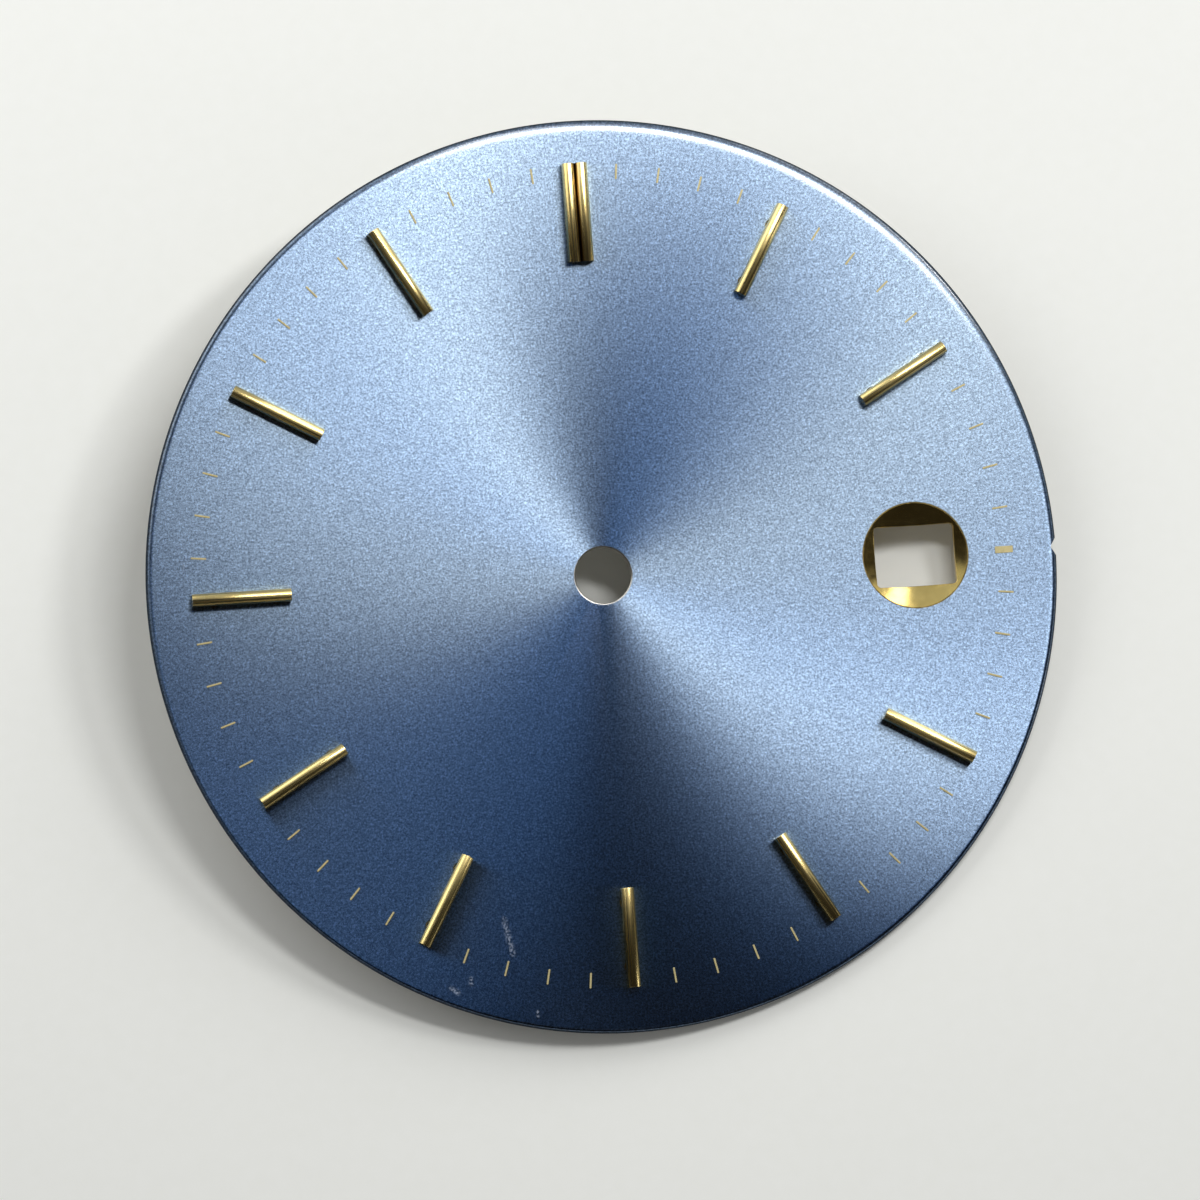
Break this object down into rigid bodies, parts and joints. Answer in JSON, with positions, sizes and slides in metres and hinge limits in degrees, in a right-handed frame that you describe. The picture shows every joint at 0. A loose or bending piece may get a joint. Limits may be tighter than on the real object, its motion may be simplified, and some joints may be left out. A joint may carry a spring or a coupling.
{
  "type": "watch dial",
  "caption": "Round watch dial with blue sunray lacquer, applied gilt hour bars, a gilt date window at 3 o'clock, a centre hole and two feet on the back.",
  "frame": {"origin": "on the centre hole's axis, at the back face of the blank", "axes": "+Z out of the face along the centre hole's axis, +Y towards 12 o'clock, +X towards 3 o'clock"},
  "size_m": [0.0295, 0.0295, 0.0028],
  "materials": {
    "silvered_brass": "silver-plated brass, satin",
    "blue_lacquer": "clear blue lacquer over radial brushing",
    "gilt_brass": "gold-plated, mirror polished",
    "gold_print": "pad-printed gold ink",
    "copper": "drawn copper wire"
  },
  "bodies": {
    "root": {"dial_blank": "silvered_brass", "lacquer_coat": "blue_lacquer", "date_window_insert": "gilt_brass", "hour_marker_12": "gilt_brass", "hour_marker_01": "gilt_brass", "hour_marker_02": "gilt_brass", "hour_marker_04": "gilt_brass", "hour_marker_05": "gilt_brass", "hour_marker_06": "gilt_brass", "hour_marker_07": "gilt_brass", "hour_marker_08": "gilt_brass", "hour_marker_09": "gilt_brass", "hour_marker_10": "gilt_brass", "hour_marker_11": "gilt_brass", "minute_track_print": "gold_print", "three_o_clock_print": "gold_print", "dial_foot_a": "copper", "dial_foot_b": "copper"}
  },
  "joints": []
}
